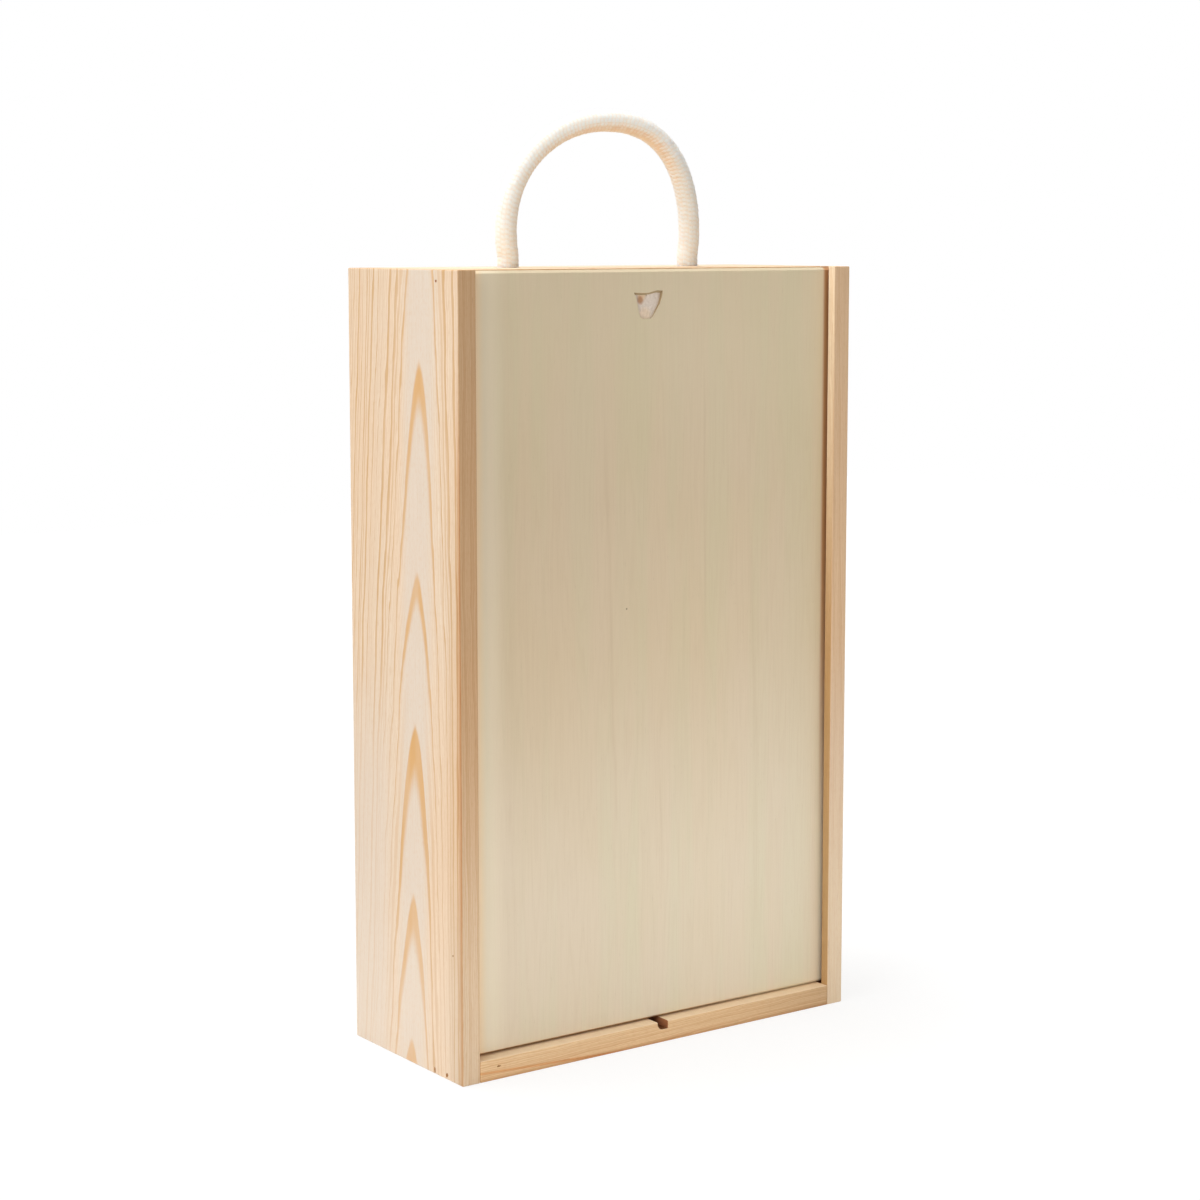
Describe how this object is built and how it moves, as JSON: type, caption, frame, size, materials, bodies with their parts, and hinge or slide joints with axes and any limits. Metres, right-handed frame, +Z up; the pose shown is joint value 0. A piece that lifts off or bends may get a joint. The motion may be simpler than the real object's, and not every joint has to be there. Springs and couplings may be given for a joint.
{
  "type": "wine bottle box",
  "caption": "Upright pine box for wine bottles, with a sliding plywood front, a divider and a rope handle.",
  "frame": {"origin": "middle of the box's footprint, on the surface that it stands on", "axes": "+Z up, along the height; +Y towards the back panel; the sliding lid faces -Y; +X to the right, seen from the front"},
  "size_m": [0.215, 0.09, 0.4204],
  "materials": {
    "side_pine": "bare planed pine, matt",
    "end_pine": "bare planed pine, matt",
    "lid_ply": "bare sanded poplar plywood, matt",
    "back_ply": "bare sanded poplar plywood, matt",
    "divider_ply": "bare poplar plywood, matt",
    "rope": "soft braided cotton",
    "brads": "bright steel, slightly dulled"
  },
  "bodies": {
    "case": {"left_side": "side_pine", "right_side": "side_pine", "top_board": "end_pine", "bottom_board": "end_pine", "back_panel": "back_ply", "centre_divider": "divider_ply", "left_rope_leg": "rope", "right_rope_leg": "rope", "left_knot": "rope", "right_knot": "rope", "left_top_brads": "brads", "left_bottom_brads": "brads", "right_top_brads": "brads", "right_bottom_brads": "brads", "back_brads": "brads"},
    "lid": {"sliding_lid": "lid_ply"},
    "handle": {"rope_arch": "rope"}
  },
  "joints": [
    {"name": "lid_slide", "type": "slide", "parent": "case", "child": "lid", "axis": [0, 0, 1], "range_m": [0, 0.34]},
    {"name": "handle_swing", "type": "hinge", "parent": "case", "child": "handle", "pos_m": [0, 0.0037, 0.3553], "axis": [-1, 0, 0], "range_deg": [-30, 75], "stiffness_Nm_per_rad": 0.03}
  ]
}
